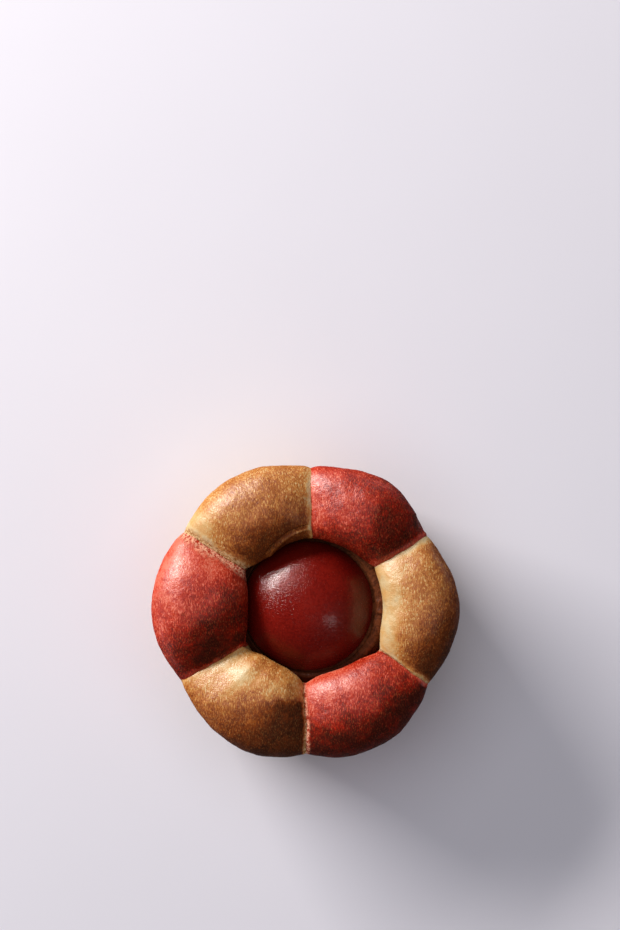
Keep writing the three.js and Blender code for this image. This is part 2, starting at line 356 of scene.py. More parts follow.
def disc_profile():
    """Radii and heights from the middle of the dimple, out and round the edge, and over the top."""
    quarter = np.linspace(0, np.pi / 2, DISC_POINTS["edge"])[1:]
    dimple = np.linspace(0, 1, DISC_POINTS["dimple"])
    under = wall_radius(DISC["edge"]) - DISC["edge"]
    flat = np.linspace(DISC["dimple_radius"], under, DISC_POINTS["flat"])[1:]
    wall = np.linspace(DISC["edge"], DISC["wall_height"], DISC_POINTS["wall"])[1:]
    top_edge = wall_radius(DISC["wall_height"])
    top = np.linspace(top_edge, DISC["floor_radius"], DISC_POINTS["top"])[1:]
    radii = [
        DISC["dimple_radius"] * dimple, flat, under + DISC["edge"] * np.sin(quarter),
        wall_radius(wall), top, [0],
    ]
    heights = [
        DISC["dimple_depth"] * np.cos(dimple * np.pi / 2) ** 2, 0 * flat,
        DISC["edge"] * (1 - np.cos(quarter)), wall, seat_height(top), [DISC["floor_height"]],
    ]
    return np.concatenate(radii), np.concatenate(heights)


radii, heights = disc_profile()
ring, poles, faces = turned(radii, heights, DISC_TURNS, BUN_MIDDLE)
spread = ring - BUN_MIDDLE
reach = np.hypot(spread[..., 0], spread[..., 1])
heading = np.arctan2(spread[..., 1], spread[..., 0])
ring[..., 2] += smooth(ring[..., 2], DISC["edge"], DISC["wall_height"]) * seat_wave(reach, heading)

# The side has the tin's marks, and the underside stays flat on the table.
side = smooth(ring[..., 2], *SIDE_UP) * smooth(reach, *SIDE_OUT)
ring[..., :2] += (spread[..., :2] / reach[..., None]) * (side * tin_marks(ring))[..., None]

under = 1 - smooth(ring[..., 2], *UNDER_UP)
dimple = 1 - smooth(reach, *DIMPLE_OUT)
patches = roughly(ring, DISC_BAKE["patch_size"], 3)
browning = DISC_BAKE["under"] + DISC_BAKE["patches"] * patches + DISC_BAKE["dimple"] * dimple
baked = DISC_BAKE["side"] + under * browning
crumbs = roughly(ring, SIDE_CRUMB["size"], 2, seed=3)
torn = SIDE_CRUMB["most"] * side * smooth(crumbs, SIDE_CRUMB["from"], SIDE_CRUMB["full"])
points = np.concatenate([ring.reshape(-1, 3), poles])
plain_crust = crust("plain_crust", **PLAIN_DOUGH)
disc = piece(
    "disc_of_plain_dough", points, faces, plain_crust,
    baked=np.append(baked.ravel(), DISC_BAKE["poles"]), torn=np.append(torn.ravel(), [0, 0]),
    egg=np.zeros(len(points)),
)
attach(disc, "root")
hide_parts("plain_disc")


# ---- The six balls of dough -----------------------------------------------------------------
# Six balls of dough stand on the disc in a ring, plain and red in turn. They rose over the tin's
# rim and pressed flat against each other. Their tops were brushed with egg and baked brown, and
# stayed pale in the seams and towards the hollow.

SEAM_GAP, SEAT_GAP = 0.03, 0.05  # clear space between two balls, and between a ball and the disc

# The hollow is a bowl round a middle of its own, from a toe on the disc up to a short wall, and
# the balls lean over it up to their equator. They share how full and how round they are, how
# sharp their corners at the hollow are, and where the middle of their ends lies, out and up.
HOLLOW = {
    "middle": (3.1, 1.8), "bowl": 25.3, "toe": 14, "toe_height": 16.2, "wall_from": 29,
    "wall_to": 34, "equator": 41, "roundness": 1.3,
}
BALL = {"equator": 39.5, "fullness": 2.25, "roundness": 2.3, "corner": 2.8, "heart": (33, 22)}
ACROSS = 150  # sections of a ball, from seam to seam
STRETCHES = {"seat": 6, "wall": 34, "lip": 12, "crown": 110, "overhang": 16, "bowl": 6}
ROUNDS, TINY = 5, 1e-9  # rounds to settle a reach in, and a length that is next to nothing

# Where two balls meet, as a straight seam in plan: its heading and how far left of the middle it
# passes, the bun's and the hollow's radius on it, and the height of the valley between crowns.
SEAMS = [
    {"heading": -34.3, "aside": 3.4, "radius": 46.2, "hollow": 25.6, "top": 44.8},
    {"heading": 29.4, "aside": 2.1, "radius": 46.8, "hollow": 23.2, "top": 45.4},
    {"heading": 91.3, "aside": -3.0, "radius": 47.1, "hollow": 22.2, "top": 45.2},
    {"heading": 148.6, "aside": -1.7, "radius": 47.4, "hollow": 25.8, "top": 44.6},
    {"heading": 207, "aside": 1.2, "radius": 45.8, "hollow": 26.6, "top": 43.8},
    {"heading": 271.4, "aside": -0.8, "radius": 46, "hollow": 25.4, "top": 44.2},
]

# Each ball runs from the seam at its own place in the list to the next one. At its middle it has
# the outline's and the hollow's radius, the top's height, how far it stands out of the tin at the
# rim, and how far out its crest runs. Outline is how long it stays round towards the seams, and
# lean how far its middle lies towards the next one.
#
# Its looks come after that: how brown its pale parts are, how wide the pale strips and the torn
# crumb are at its two seams, how far out the pale strip at the hollow reaches at either seam, how
# brown it is, and how much browner it gets towards the next seam and outwards. Spots give their
# place across and outwards, their spreads, and how much darker they make it. Most are browning,
# but the paler spots marked below paint a highlight of the sheen into the colour. Swells give
# place and spreads too, and how high they stand. Folds give where they start and end across, how
# far out they are there, and how deep they are. Across runs from -1 at the first seam to 1 at the
# next, and outwards from 0 at the hollow to 1 at the outline.
BALLS = {
    "plain_ball_1": {
        "radius": 50.1, "outline": 1.5, "hollow": 21.9, "top": 49.6, "bulge": 0.4, "crest": 0.5,
        "lean": 0, "pale": 0.05, "strips": (2.4, 3.6), "torn": (0.5, 0), "inner": (0.24, 0.2),
        "brown": 0.46, "drift": (-0.16, 0.85),
        "spots": [
            (-0.6, 0.6, 0.35, 0.25, 0.14), (0.6, 0.85, 0.5, 0.25, -0.2), (-0.85, 0.3, 0.3, 0.15, -0.2),
            (0.5, 0.3, 0.15, 0.1, 0.12),
        ],
        "swells": [], "folds": [],
    },
    "red_ball_1": {
        "radius": 50.3, "outline": 1.35, "hollow": 21.6, "top": 50.6, "bulge": 2.2, "crest": 0.52,
        "lean": -0.12, "pale": 0.3, "strips": (2.4, 0.8), "torn": (0, 0), "inner": (-0.1, -0.1),
        "brown": 0.53, "drift": (-0.24, 0),
        "spots": [
            (-0.45, 0.62, 0.35, 0.35, 0.24), (0.75, 0.1, 0.45, 0.15, 0.3), (-0.85, 0.1, 0.2, 0.12, -0.2),
            # The last spot is a painted highlight: it pales the left end, where the sheen falls.
            (1.0, 0.6, 0.22, 0.35, -0.16),
        ],
        "swells": [(-0.82, 1.0, 0.12, 0.3, -1.2)], "folds": [],
    },
    "plain_ball_2": {
        "radius": 49.9, "outline": 1.5, "hollow": 22.2, "top": 50.4, "bulge": 0.8, "crest": 0.5,
        "lean": 0.04, "pale": 0.12, "strips": (2.0, 4.2), "torn": (0, 2.2), "inner": (-0.1, -0.1),
        "brown": 0.55, "drift": (0, -0.38),
        "spots": [
            (0.1, 0.26, 0.8, 0.14, 0.16), (-0.3, 0.05, 0.8, 0.1, 0.05), (-0.95, 0.5, 0.2, 0.3, -0.15),
            # Painted highlight: these two spots pale the upper left, where the sheen falls. The one by
            # the seam is also pale dough there.
            (0.9, 0.85, 0.35, 0.3, -0.3), (0.4, 0.8, 0.4, 0.2, -0.08),
            (1.0, 0.6, 0.12, 0.5, -0.1),
        ],
        "swells": [], "folds": [(-1.1, 0.5, 0.19, 0.01, 0.8)],
    },
    "red_ball_2": {
        "radius": 50.1, "outline": 1.9, "hollow": 21.8, "top": 51.6, "bulge": 2.4, "crest": 0.53,
        "lean": -0.1, "pale": 0.28, "strips": (3.0, 1.8), "torn": (3.3, 0), "inner": (-0.1, -0.1),
        "brown": 0.46, "drift": (0.28, -0.28),
        "spots": [
            # The third spot is a painted highlight: it pales the upper left, where the sheen falls.
            (0.5, 0.5, 0.4, 0.25, 0.24), (-0.1, 0.2, 0.6, 0.2, 0.2), (-0.3, 0.9, 0.6, 0.3, -0.14),
            (0.85, 0.6, 0.3, 0.4, 0.2),
        ],
        "swells": [], "folds": [],
    },
    "plain_ball_3": {
        "radius": 49.3, "outline": 1.6, "hollow": 22, "top": 49, "bulge": 0.3, "crest": 0.42,
        "lean": 0.22, "pale": 0.24, "strips": (2.4, 1.8), "torn": (0, 0.8), "inner": (0.52, 0.28),
        "brown": 0.60, "drift": (0.38, 0.45),
        "spots": [
            (-0.75, 0.62, 0.35, 0.25, -0.1), (0.6, 0.55, 0.4, 0.3, 0.14), (-0.2, 0.1, 0.5, 0.12, 0.2),
            # These two spots pale the ridge further: a painted highlight where it catches the light.
            (-0.62, 0.32, 0.14, 0.16, -0.14), (-0.46, 0.5, 0.13, 0.18, -0.17),
            (-0.9, 0.15, 0.15, 0.2, -0.1),
        ],
        "swells": [
            (-0.5, 0.3, 0.12, 0.3, 0.4), (-0.78, 0.3, 0.1, 0.3, -0.25), (-0.2, 0.2, 0.1, 0.25, -0.15),
            (0.3, 0.05, 0.1, 0.1, 0.12),
        ],
        "folds": [],
    },
    "red_ball_3": {
        "radius": 49.7, "outline": 1.9, "hollow": 21.7, "top": 49.8, "bulge": 1.9, "crest": 0.48,
        "lean": 0.04, "pale": 0.25, "strips": (0.8, 1.6), "torn": (1.2, 0), "inner": (-0.1, -0.1),
        "brown": 0.60, "drift": (0, 1.3),
        "spots": [
            (0.95, 0.85, 0.2, 0.2, -0.3), (0.75, 0.1, 0.4, 0.2, 0.3), (0, 0.02, 2, 0.08, 0.3),
            (-0.5, 0.2, 0.4, 0.2, -0.05),
        ],
        "swells": [], "folds": [],
    },
}
LEAST_BROWN, MOST_BROWN = 0.03, 0.95

# Unevenness of the balls: how much, how wide in millimetres, and the noise's octaves and seed.
UNEVEN = {
    "lumps": (0.42, 11, 1, 1), "small_lumps": (0.16, 4, 1, 2), "wrinkles": (0.07, 1.3, 2, 3),
    "seam": (0.8, 9, 2, 4), "rags": (0.55, 2.2, 2, 5), "wide_rags": (0.6, 8, 1, 10),
    "rim": (1.2, 4, 2, 6), "blush": (0.11, 4, 2, 8), "baking": (0.05, 5, 2, 7),
    "fine_baking": (0.03, 1.6, 1, 9),
}
WRINKLES_LIE = (1, 1, 0.6)  # wrinkles are longer up and down than round the bun
SEAMS_APART = 30  # how far the noise of one seam lies from the next one's

# Heights between which the tin's marks come in and go out, and the free skin and its browning
# come in. Turns over the crown are 0 at its outer side and 1 at its inner side.
MARKS_FROM, MARKS_TO, FREE_FROM, BROWN_FROM = (12, 14), (30, 35), (33, 37), (31.5, 36.5)
FREE_TURNS, BROWN_TURNS, SPOT_TURNS = 1.2, 1, 1.1
EGG_FROM, EGG_TO = (0.10, 0.28), (0.75, 0.92)
PALE_EDGE = (-0.12, 0.08)  # where the pale strip at the hollow goes over into brown
SEAM = {
    "groove": 0.12, "groove_width": 0.9, "swells_from": 2.5, "wave_from": (12, 16), "wave_width": 4,
}
TEAR = {"ragged": 0.6, "whole": 0.3}  # as shares of the torn strip's width
FOLD = {
    "bead_at": -0.03, "bead_width": 0.022, "bead_height": 0.6, "crease_at": 0.01,
    "crease_width": 0.016, "fade_in": 0.2, "fade_out": 0.3, "painted_highlight": 0.2,
}
RED_DOUGH = {
    "bakes": [
        (0.0, (0.60, 0.135, 0.080)),
        (0.2, (0.49, 0.047, 0.018)),
        (0.4, (0.37, 0.018, 0.004)),
        (0.6, (0.235, 0.008, 0.002)),
        (0.8, (0.125, 0.007, 0.0025)),
        (1.0, (0.046, 0.006, 0.003)),
    ],
    "crumb": (0.78, 0.38, 0.24), "pit": (0.36, 0.030, 0.012), "fleck": (0.52, 0.115, 0.038),
    "clouds": 0.38, "grains": 0.6, "flecks": 0.75, "palest": -0.35,
}


def seam_angle(seam, radius, clearance):
    """Where a seam lies at this radius, as an angle, moved left by clearance."""
    return np.radians(seam["heading"]) + np.arcsin((seam["aside"] + clearance) / radius)


def reach_of_hollow(radius, angle_at):
    """From the bun's middle to a circle round the hollow's middle, settled in a few rounds."""
    x, y = HOLLOW["middle"]
    reach = radius
    for _ in range(ROUNDS):
        angle = angle_at(reach)
        ahead = x * np.cos(angle) + y * np.sin(angle)
        aside = y * np.cos(angle) - x * np.sin(angle)
        reach = ahead + np.sqrt(radius ** 2 - aside ** 2)
    return reach


def bowl_at(share):
    """Radius and height of the hollow's bowl, from 0 at its toe to 1 at its wall."""
    turn = share * np.pi / 2
    rise = 1 - np.cos(turn)
    return (
        lerp(HOLLOW["toe"], HOLLOW["bowl"], np.sin(turn)),
        lerp(HOLLOW["toe_height"], HOLLOW["wall_from"], rise),
    )


def size_across(ball, first, last, across):
    """The size of a ball's sections, from -1 at its first seam over 0 to 1 at its last."""
    before = across < ball["lean"]
    run = np.where(before, 1 + ball["lean"], 1 - ball["lean"])
    away = np.abs(across - ball["lean"]) / run
    fall = away ** BALL["roundness"]
    at_seam = {key: np.where(before, first[key], last[key]) for key in ("radius", "hollow", "top")}
    return {
        "radius": lerp(ball["radius"], at_seam["radius"], away ** ball["outline"]),
        "hollow": lerp(ball["hollow"], at_seam["hollow"], away ** BALL["corner"]),
        "top": lerp(ball["top"], at_seam["top"], fall),
        "bulge": lerp(ball["bulge"], 0, fall),
        "crest": lerp(ball["crest"], 0.5, fall),
    }


def sections(ball, first, last, full_turn):
    """A ball's points, a row to a section, with their turn and share across and outwards.

    The turn is 0 up to the crown's outer side, 1 at its inner side and 2 in the bowl.
    """
    across = np.linspace(1, -1, ACROSS)[:, None]
    size = size_across(ball, first, last, across)

    def angle_at(radius):
        start = seam_angle(first, radius, SEAM_GAP / 2)
        end = seam_angle(last, radius, -SEAM_GAP / 2) + full_turn
        return lerp(start, end, (across + 1) / 2)

    def on_seat(radius):
        return seat_height(radius) + seat_wave(radius, angle_at(radius)) + SEAT_GAP

    def share(stretch):
        return np.linspace(0, 1, STRETCHES[stretch] + 1)[None, 1:]

    rim, equator = TIN["rim_height"], BALL["equator"]
    toe = reach_of_hollow(HOLLOW["toe"] + 0 * across, angle_at)
    foot = wall_radius(DISC["wall_height"])
    seat = lerp(toe, foot, np.linspace(0, 1, STRETCHES["seat"] + 1)[None, :])
    wall = lerp(on_seat(seat)[:, -1:], rim, share("wall"))
    lip = lerp(rim, equator, share("lip"))
    lip_radius = wall_radius(rim) + size["bulge"]
    inside = reach_of_hollow(size["hollow"], angle_at)
    crest = lerp(inside, size["radius"], size["crest"])
    turn = share("crown")
    cosine, sine = np.cos(turn * np.pi), np.maximum(np.sin(turn * np.pi), 0)
    arm = np.where(turn < 0.5, size["radius"] - crest, inside - crest)
    crown_out = np.abs(cosine) ** (2 / BALL["fullness"]) * arm
    crown_up = sine ** (2 / BALL["fullness"])
    crown = lerp(lerp(equator, HOLLOW["equator"], turn), size["top"], crown_up)
    fall = share("overhang")
    bowl = reach_of_hollow(HOLLOW["bowl"] + 0 * across, angle_at)
    under = lerp(inside, bowl, fall ** HOLLOW["roundness"])
    bowl_out, bowl_up = bowl_at(1 - np.linspace(0, 1, STRETCHES["bowl"] + 1)[None, :])
    radius = [
        seat, wall_radius(wall) + size["bulge"] * (wall / rim) ** 2,
        lerp(lip_radius, size["radius"], smooth(share("lip"), 0, 1)), crest + crown_out, under,
        reach_of_hollow(bowl_out + 0 * across, angle_at),
    ]
    height = [
        on_seat(seat), wall, lip, crown, lerp(HOLLOW["equator"], HOLLOW["wall_to"], fall),
        bowl_up,
    ]
    turns = [0, 0, 0, turn, 1 + fall, 2]
    radius, height, turns = (
        np.concatenate([part + 0 * r for part, r in zip(parts, radius)], 1)
        for parts in (radius, [h + 0 * across for h in height], turns)
    )
    return {
        "radius": radius, "height": height, "angle": angle_at(radius), "turn": turns,
        "across": across + 0 * radius, "outward": (radius - inside) / (size["radius"] - inside),
    }


def off_the_seam(radius, angle, seam, turn_back):
    """Distance of each point from a seam's plane."""
    return np.abs(radius * np.sin(angle - turn_back - np.radians(seam["heading"])) - seam["aside"])


def along_normal(radius, height, push):
    """Moves the points of each section out of the dough by push, in the section's own plane."""
    run = np.roll(radius, -1, 1) - np.roll(radius, 1, 1)
    rise = np.roll(height, -1, 1) - np.roll(height, 1, 1)
    length = np.hypot(run, rise) + TINY
    return radius + push * rise / length, height - push * run / length


def uneven(points, *kinds):
    """Unevenness of these kinds, added up."""
    bumps = 0
    for kind in kinds:
        much, wide, octaves, seed = UNEVEN[kind]
        bumps = bumps + much * roughly(points, wide, octaves, seed)
    return bumps


def seam_wave(number, radius, height):
    """How far two balls push each other aside at their seam."""
    on_seam = np.stack([radius, height, 0 * radius + SEAMS_APART * number], -1)
    return uneven(on_seam, "seam") * smooth(height, *SEAM["wave_from"])


def spot(across, outward, at_across, at_out, wide, deep):
    """1 at a spot on a ball and less away from it, by its spreads across and outwards."""
    far = ((across - at_across) / wide) ** 2 + ((outward - at_out) / deep) ** 2
    return np.exp(-far)


def folds_in(ball, across, outward):
    """How far a ball's folds stand out, as a bead beside a crease, and the mask of the beads."""
    high, beads = 0 * outward, 0 * outward
    for start, end, out_start, out_end, deep in ball["folds"]:
        off = outward - lerp(out_start, out_end, (across - start) / (end - start))
        ends = smooth(across, start, start + FOLD["fade_in"])
        ends = ends * smooth(end - across, 0, FOLD["fade_out"])
        bead = ends * np.exp(-((off - FOLD["bead_at"]) / FOLD["bead_width"]) ** 2)
        crease = ends * np.exp(-((off - FOLD["crease_at"]) / FOLD["crease_width"]) ** 2)
        high = high + deep * (FOLD["bead_height"] * bead - crease)
        beads = beads + bead
    return high, beads


def bake(ball, grid, near, free, beads):
    """A ball's masks: how far it is baked, with some painted highlight in it, where its crumb is torn
    open, and where it has egg.
    """
    across, turn = grid["across"], grid["turn"]
    points = round_the_middle(grid["radius"], grid["angle"], grid["height"])
    ragged = uneven(points, "rags", "wide_rags")
    over_rim = smooth(grid["height"] + uneven(points, "rim"), *BROWN_FROM) + (turn >= 0.5)
    over_rim = np.clip(over_rim, 0, 1)
    outward = grid["outward"] + uneven(points, "baking", "fine_baking")
    edge = lerp(*ball["inner"], (across + 1) / 2)
    brown = smooth(outward, edge + PALE_EDGE[0], edge + PALE_EDGE[1]) * (turn <= BROWN_TURNS)
    for off_seam, width in zip(near, ball["strips"]):
        brown = brown * smooth(off_seam + ragged, 0, width)
    tone = ball["brown"] + ball["drift"][0] * across + ball["drift"][1] * (outward - 0.5)
    blush = ball["pale"] + uneven(points, "blush")
    baked = blush + over_rim * brown * (tone - blush)
    # Spots change the browning. The paler ones marked in BALLS paint a highlight into it.
    for *place, darker_by in ball["spots"]:
        baked = baked + darker_by * spot(across, outward, *place) * over_rim * (turn <= SPOT_TURNS)
    # The fold's bead is paled: a painted highlight on the lit edge of the ledge.
    baked = np.clip(baked - FOLD["painted_highlight"] * beads, LEAST_BROWN, MOST_BROWN)
    torn = 0 * baked
    for off_seam, width in zip(near, ball["torn"]):
        if width:
            off_tear = off_seam + TEAR["ragged"] * width * ragged
            torn += (1 - smooth(off_tear, TEAR["whole"] * width, width)) * free
    egg = smooth(turn, *EGG_FROM) * (1 - smooth(turn, *EGG_TO))
    return {"baked": baked, "torn": np.clip(torn, 0, 1), "egg": egg}


def end_middle(number, side, full_turn):
    """The point in the middle of a ball's end at a seam, 1 for its first seam and -1 for its last."""
    radius, height = BALL["heart"]
    angle = seam_angle(SEAMS[number], radius, side * SEAM_GAP / 2) + full_turn
    return round_the_middle(radius, angle + seam_wave(number, radius, height) / radius, height)


def ball_of_dough(name, number, material):
    """One ball, from the seam with its number to the next one."""
    ball, following = BALLS[name], (number + 1) % len(SEAMS)
    full_turn = 2 * np.pi if following == 0 else 0
    grid = sections(ball, SEAMS[number], SEAMS[following], full_turn)
    near = [
        off_the_seam(grid["radius"], grid["angle"], SEAMS[number], 0),
        off_the_seam(grid["radius"], grid["angle"], SEAMS[following], full_turn),
    ]
    nearest = np.minimum(*near)

    # The free skin swells and wrinkles, and below it the side has the tin's marks.
    points = round_the_middle(grid["radius"], grid["angle"], grid["height"])
    free = smooth(grid["height"], *FREE_FROM) * (grid["turn"] < FREE_TURNS)
    in_tin = smooth(grid["height"], *MARKS_FROM) * (1 - smooth(grid["height"], *MARKS_TO))
    in_tin = in_tin * (grid["turn"] < 0.5)
    folds, beads = folds_in(ball, grid["across"], grid["outward"])
    swell = uneven(points, "lumps", "small_lumps") + folds
    for *place, high in ball["swells"]:
        swell = swell + high * spot(grid["across"], grid["outward"], *place)
    swell = swell * smooth(nearest, 0, SEAM["swells_from"])
    swell = swell + uneven(points * WRINKLES_LIE, "wrinkles")
    swell = swell - SEAM["groove"] * np.exp(-nearest / SEAM["groove_width"])
    push = free * swell + in_tin * tin_marks(points)
    grid["radius"], grid["height"] = along_normal(grid["radius"], grid["height"], push)
    for seam, off_seam in zip((number, following), near):
        wave = seam_wave(seam, grid["radius"], grid["height"])
        fading = np.exp(-(off_seam / SEAM["wave_width"]) ** 2)
        grid["angle"] = grid["angle"] + wave * fading / grid["radius"]

    # Both ends are closed with a fan of faces round their middle.
    points = round_the_middle(grid["radius"], grid["angle"], grid["height"])
    middles = [end_middle(following, -1, full_turn), end_middle(number, 1, 0)]
    rows, columns = grid["radius"].shape
    faces = woven(rows, columns, columns_close=True)
    near_end, far_end = rows * columns, rows * columns + 1
    last_row = (rows - 1) * columns
    for column in range(columns):
        after = (column + 1) % columns
        faces.append([near_end, column, after])
        faces.append([far_end, last_row + after, last_row + column])
    masks = bake(ball, grid, near, free, beads)
    made = piece(
        name + "_crust", np.concatenate([points.reshape(-1, 3), middles]), faces, material,
        **{mask: np.append(values.ravel(), [0, 0]) for mask, values in masks.items()},
    )
    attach(made, "root")
    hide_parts(name)


red_crust = crust("red_crust", **RED_DOUGH)
for number, name in enumerate(BALLS):
    ball_of_dough(name, number, plain_crust if name.startswith("plain") else red_crust)


# ---- The cream ------------------------------------------------------------------------------
# Smooth brown-pink cream piped into the hollow. The jelly dome was pressed into it, and squeezed
# a ridge up round itself that is higher on the right, where the hollow is wider.

CREAM = {
    "clear": 0.06, "floor": 15.2, "ridge_from": 22.2, "ridge_to": 23.3, "ridge_height": 36,
    "ridge_spill": 0.5, "ridge_foot": 0.7, "ridge_bead": 0.9, "ridge_side": 0.8, "slope": 0.06,
    "above_bowl": 1,
}
JELLY = {
    "middle": (0.9, 2.0), "radius": 21, "rim": 36.7, "rounding": 1, "top": 47.4, "bottom": 33,
    "above_rim": 1,
}
CREAM_TURNS = 300  # points round the cream
CREAM_POINTS = {"bowl": 8, "wall": 6, "bead": 15, "dish": 12}
CREAM_LUMPS = {"high": 0.35, "size": 3.2}
CREAM_HOLES = {"deep": 0.8, "size": 1.1, "from": 0.3}  # burst bubbles in the ridge
# Painted shade: the cream is darkened at the bottom, left and top of the gap round the jelly, where
# shade falls, and kept light only on the side this points towards.
UNSHADED_SIDE = {"towards": (0.98, 0.17), "from": 0.35, "full": 0.95}  # the side left out of the painted shade
CREAM_PALE, CREAM_DARK = (0.17, 0.045, 0.015), (0.05, 0.012, 0.004)
CREAM_SHADE_COLOUR = (0.030, 0.006, 0.0025)
STREAKS, STREAKS_SHOW, AIR = (2.2, 3, 0.6, 1.5), (0.3, 0.7), (0.6, 2, 0.6)
CREAM_LOOK = {"deep": 0.15, "soaked": 0.75, "roughness": 0.35, "rougher": 0.2, "shine": 0.12}
HOLLOW_MIDDLE = BUN_MIDDLE + (*HOLLOW["middle"], 0)
JELLY_MIDDLE = BUN_MIDDLE + (*JELLY["middle"], 0)


def under_jelly(share):
    """Radius and height of the jelly's curved underside, from 0 in its middle to 1 at its edge."""
    edge = JELLY["rim"] - JELLY["rounding"]
    return (JELLY["radius"] - JELLY["rounding"]) * share, lerp(JELLY["bottom"], edge, share ** 2)


def cream_profile():
    """Radii and heights from the floor's middle up the bowl, over the ridge and into the dish."""
    wall = HOLLOW["bowl"] - CREAM["clear"]
    dish = JELLY["radius"] + CREAM["clear"]
    toe = HOLLOW["toe"] - CREAM["clear"]
    bowl_out, bowl_up = bowl_at(np.linspace(0, 1, CREAM_POINTS["bowl"])[1:])
    under_out, under_up = under_jelly(np.linspace(1, 0, CREAM_POINTS["dish"]))
    bead = np.linspace(0, np.pi, CREAM_POINTS["bead"])
    half = (CREAM["ridge_to"] - CREAM["ridge_from"]) / 2 + CREAM["ridge_spill"]
    bead_out = (CREAM["ridge_from"] + CREAM["ridge_to"]) / 2 + half * np.cos(bead)
    bead_up = CREAM["ridge_height"] - CREAM["ridge_foot"] + CREAM["ridge_bead"] * np.sin(bead)
    up = np.linspace(HOLLOW["wall_from"], HOLLOW["wall_to"], CREAM_POINTS["wall"])[1:]
    radii = [
        [0, toe, toe], bowl_out - CREAM["clear"], wall + 0 * up, bead_out, [dish], under_out,
    ]
    heights = [
        [CREAM["floor"], CREAM["floor"], HOLLOW["toe_height"]], bowl_up + CREAM["clear"], up,
        bead_up, [JELLY["rim"] - JELLY["rounding"]], under_up - CREAM["clear"],
    ]
    return np.concatenate(radii), np.concatenate(heights)


radii, heights = cream_profile()
ring, poles, faces = turned(radii, heights, CREAM_TURNS, HOLLOW_MIDDLE)
shift = np.array(JELLY["middle"]) - HOLLOW["middle"]
spread = ring[..., :2] - HOLLOW_MIDDLE[:2]
reach = np.hypot(spread[..., 0], spread[..., 1])
wall, dish = HOLLOW["bowl"] - CREAM["clear"], JELLY["radius"] + CREAM["clear"]
above = ring[..., 2] > HOLLOW["wall_from"] + CREAM["above_bowl"]
inside = smooth(wall - reach, 0, wall - dish) * above
raised = smooth(ring[..., 2], HOLLOW["wall_to"], CREAM["ridge_height"])
raised *= smooth(reach, dish, dish + CREAM["ridge_side"])
ring[..., :2] += shift * inside[..., None]
lumps = CREAM_LUMPS["high"] * roughly(ring, CREAM_LUMPS["size"], 2, seed=11)
ring[..., 2] += raised * (CREAM["slope"] * spread[..., 0] + lumps)
holes = np.maximum(roughly(ring, CREAM_HOLES["size"], 1, seed=12) - CREAM_HOLES["from"], 0)
ring[..., 2] -= raised * holes * CREAM_HOLES["deep"]
unshaded = smooth(spread @ UNSHADED_SIDE["towards"] / np.maximum(reach, 1), UNSHADED_SIDE["from"], UNSHADED_SIDE["full"])
poles[1][:2] = JELLY_MIDDLE[:2]
poles[1][2] = JELLY["bottom"] - CREAM["clear"]

cream = Finish("cream")
place = cream.place()
streaks, air = cream.noise(place, *STREAKS), cream.noise(place, *AIR)
relief = {"Strength": 1.0, "Distance": CREAM_LOOK["deep"] * MM, "Height": streaks + air}
bubbles = cream.node("Bump", {}, relief)
creamy = cream.mix(CREAM_DARK, CREAM_PALE, streaks.between(*STREAKS_SHOW))
# The mask paints shade into the cream's colour everywhere but its lit right side.
soaked = cream.mask("soaked") * CREAM_LOOK["soaked"]
cream_finish = cream.done(cream.coat(
    Base_Color=cream.mix(creamy, CREAM_SHADE_COLOUR, soaked),
    Roughness=CREAM_LOOK["roughness"] + air * CREAM_LOOK["rougher"],
    Specular_IOR_Level=CREAM_LOOK["shine"], Normal=bubbles,
))
filling = piece(
    "cream_in_the_hollow", np.concatenate([ring.reshape(-1, 3), poles]), faces, cream_finish,
    soaked=np.append((1 - unshaded).ravel(), [0, 0]),
)
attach(filling, "root")
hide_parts("cream_filling")


# ---- The jelly dome -------------------------------------------------------------------------
# Dark red fruit jelly, set in a half-sphere mould and pressed into the cream. Its skin is wet
# and glossy, with a fine pebbled surface and a few tiny burst bubbles.

JELLY_TURNS = 360  # points round the dome
JELLY_POINTS = {"under": 14, "corner": 6, "over": 150}
JELLY_CREASE = 80  # degrees, so that the rim stays soft
JELLY_LUMPS, JELLY_RIPPLES = {"high": 0.12, "size": 9}, {"high": 0.015, "size": 1.2}
JELLY_RED, JELLY_DEEP = (0.178, 0.007, 0.0035), (0.120, 0.0038, 0.0022)
# Painted shade: the jelly darkens towards its rim, down in the hollow. Its colour there, how much of it
# shows, and the radii over which it comes in.
JELLY_RIM_SHADE, RIM_SHADE_SHARE, RIM_SHADE_OUT = (0.055, 0.0015, 0.001), 0.85, (11, 20.5)

# Size, detail and roughness of the clouds, the pebbled skin and its specks, and the size of a
# burst bubble's cell, with where they show and how much each makes of the colour.
CLOUDS, PEBBLES, SPECKS, CELLS = (14, 1), (0.8, 2, 0.6), (0.4, 1, 0.5), 1.3
SPECKS_SHOW, BUBBLES_SHOW, RED_SHOWS = (0.42, 0.62), (0.08, 0.24), (0.3, 0.7)
RED_BY = {"clouds": 0.6, "pebbles": 1.4, "less": 0.5}
SKIN = {"deep": 0.1, "pebbles": 0.9, "specks": 0.28, "bubbles": 0.15}
GLOSS = {"roughness": 0.075, "specks": 0.1, "bubbles": 0.15, "shine": 0.45}


